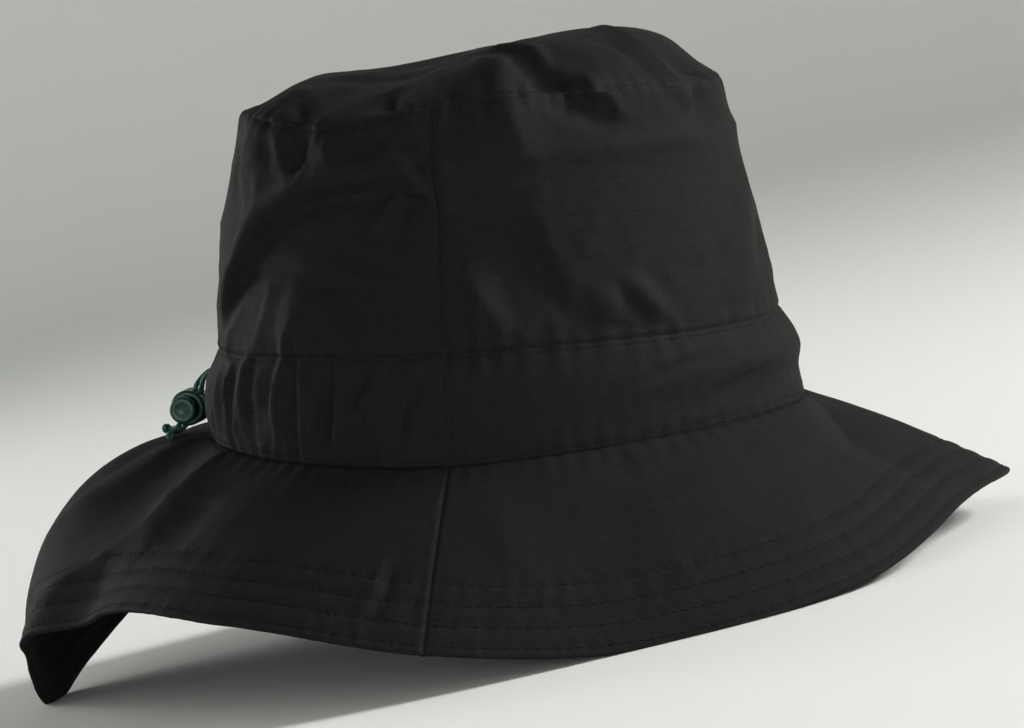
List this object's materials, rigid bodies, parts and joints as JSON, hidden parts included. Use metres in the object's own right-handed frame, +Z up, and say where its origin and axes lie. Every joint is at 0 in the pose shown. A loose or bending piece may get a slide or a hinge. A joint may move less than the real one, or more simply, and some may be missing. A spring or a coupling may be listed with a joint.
{
  "type": "sou wester rain hat",
  "caption": "Wide-brimmed waterproof cloth hat with a long back flap, a soft folded crown and a drawcord with a cord lock at the back of its band.",
  "frame": {"origin": "middle of the hat's footprint, on the surface that its brim rests on", "axes": "+X to the front of the hat, +Y to the wearer's left, +Z up"},
  "size_m": [0.3492, 0.2722, 0.1961],
  "materials": {
    "waxed_cloth": "plain-woven black waterproof cloth, faint sheen",
    "elastic_cord": "braided dark green elastic cord",
    "lock_plastic": "moulded dark teal plastic, faintly glossy"
  },
  "bodies": {
    "hat": {"crown_tip": "waxed_cloth", "crown_side_front": "waxed_cloth", "crown_side_back": "waxed_cloth", "band_front": "waxed_cloth", "band_back": "waxed_cloth", "brim_front": "waxed_cloth", "brim_back": "waxed_cloth", "drawcord_near": "elastic_cord", "drawcord_far": "elastic_cord", "cord_knot_near": "elastic_cord", "cord_knot_far": "elastic_cord", "cord_lock_body": "lock_plastic"},
    "lock_button": {"cord_lock_plunger": "lock_plastic"}
  },
  "joints": [
    {"name": "lock_press", "type": "slide", "parent": "hat", "child": "lock_button", "axis": [-0.0008, 1, -0.0054], "range_m": [0, 0.003], "stiffness_N_per_m": 300, "springref_m": -0.002}
  ]
}
